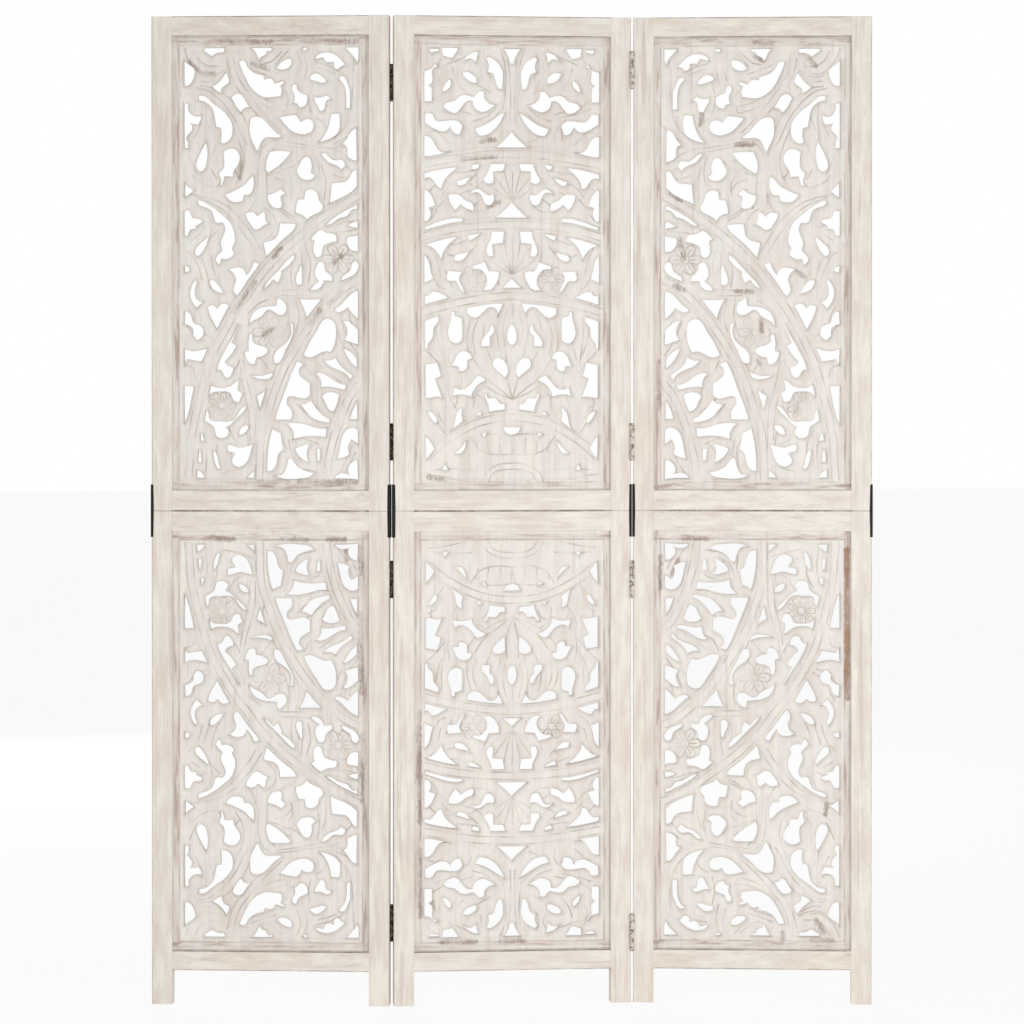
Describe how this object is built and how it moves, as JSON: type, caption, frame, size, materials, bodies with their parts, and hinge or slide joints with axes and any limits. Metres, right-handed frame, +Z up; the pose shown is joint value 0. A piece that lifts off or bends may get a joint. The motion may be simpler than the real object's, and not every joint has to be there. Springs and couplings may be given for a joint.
{
  "type": "folding room divider screen",
  "caption": "Free-standing folding screen: tall hinged panels of whitewashed wood, each framing boards pierced and carved with scrolling leaves, flowers and arched bands.",
  "frame": {"origin": "on the floor under the middle of the middle panel", "axes": "+Z up, +X to the right along the middle panel seen from the front, front face towards -Y"},
  "size_m": [1.2032, 0.1432, 1.65],
  "materials": {
    "frame_wood": "whitewashed mango wood, sanded back",
    "carved_wood": "whitewashed carved mango wood",
    "joiner_steel": "blackened steel",
    "hinge_steel": "blackened steel, rubbed",
    "pin_steel": "blackened steel, rubbed"
  },
  "bodies": {
    "middle_panel": {"hinge_pins": "pin_steel", "left_fold_hinge_1_middle_leaf": "hinge_steel", "left_fold_hinge_2_middle_leaf": "hinge_steel", "left_fold_hinge_3_middle_leaf": "hinge_steel", "left_fold_hinge_4_middle_leaf": "hinge_steel", "middle_hinge_screws": "hinge_steel", "middle_joiner_screws": "joiner_steel", "middle_left_joiner_plate": "joiner_steel", "middle_lower_bottom_rail": "frame_wood", "middle_lower_carved_board": "carved_wood", "middle_lower_left_stile": "frame_wood", "middle_lower_right_stile": "frame_wood", "middle_lower_top_rail": "frame_wood", "middle_right_joiner_plate": "joiner_steel", "middle_upper_bottom_rail": "frame_wood", "middle_upper_carved_board": "carved_wood", "middle_upper_left_stile": "frame_wood", "middle_upper_right_stile": "frame_wood", "middle_upper_top_rail": "frame_wood", "right_fold_hinge_1_middle_leaf": "hinge_steel", "right_fold_hinge_2_middle_leaf": "hinge_steel", "right_fold_hinge_3_middle_leaf": "hinge_steel", "right_fold_hinge_4_middle_leaf": "hinge_steel"},
    "left_panel": {"left_fold_hinge_1_left_leaf": "hinge_steel", "left_fold_hinge_2_left_leaf": "hinge_steel", "left_fold_hinge_3_left_leaf": "hinge_steel", "left_fold_hinge_4_left_leaf": "hinge_steel", "left_hinge_screws": "hinge_steel", "left_joiner_screws": "joiner_steel", "left_left_joiner_plate": "joiner_steel", "left_lower_bottom_rail": "frame_wood", "left_lower_carved_board": "carved_wood", "left_lower_left_stile": "frame_wood", "left_lower_right_stile": "frame_wood", "left_lower_top_rail": "frame_wood", "left_right_joiner_plate": "joiner_steel", "left_upper_bottom_rail": "frame_wood", "left_upper_carved_board": "carved_wood", "left_upper_left_stile": "frame_wood", "left_upper_right_stile": "frame_wood", "left_upper_top_rail": "frame_wood"},
    "right_panel": {"right_fold_hinge_1_right_leaf": "hinge_steel", "right_fold_hinge_2_right_leaf": "hinge_steel", "right_fold_hinge_3_right_leaf": "hinge_steel", "right_fold_hinge_4_right_leaf": "hinge_steel", "right_hinge_screws": "hinge_steel", "right_joiner_screws": "joiner_steel", "right_left_joiner_plate": "joiner_steel", "right_lower_bottom_rail": "frame_wood", "right_lower_carved_board": "carved_wood", "right_lower_left_stile": "frame_wood", "right_lower_right_stile": "frame_wood", "right_lower_top_rail": "frame_wood", "right_right_joiner_plate": "joiner_steel", "right_upper_bottom_rail": "frame_wood", "right_upper_carved_board": "carved_wood", "right_upper_left_stile": "frame_wood", "right_upper_right_stile": "frame_wood", "right_upper_top_rail": "frame_wood"}
  },
  "joints": [
    {"name": "left_fold", "type": "hinge", "parent": "middle_panel", "child": "left_panel", "pos_m": [-0.2007, 0.0149, 0], "axis": [0, 0, -1], "range_deg": [-8.5, 171.5]},
    {"name": "right_fold", "type": "hinge", "parent": "middle_panel", "child": "right_panel", "pos_m": [0.2007, -0.0149, 0], "axis": [0, 0, -1], "range_deg": [-8.5, 171.5]}
  ]
}
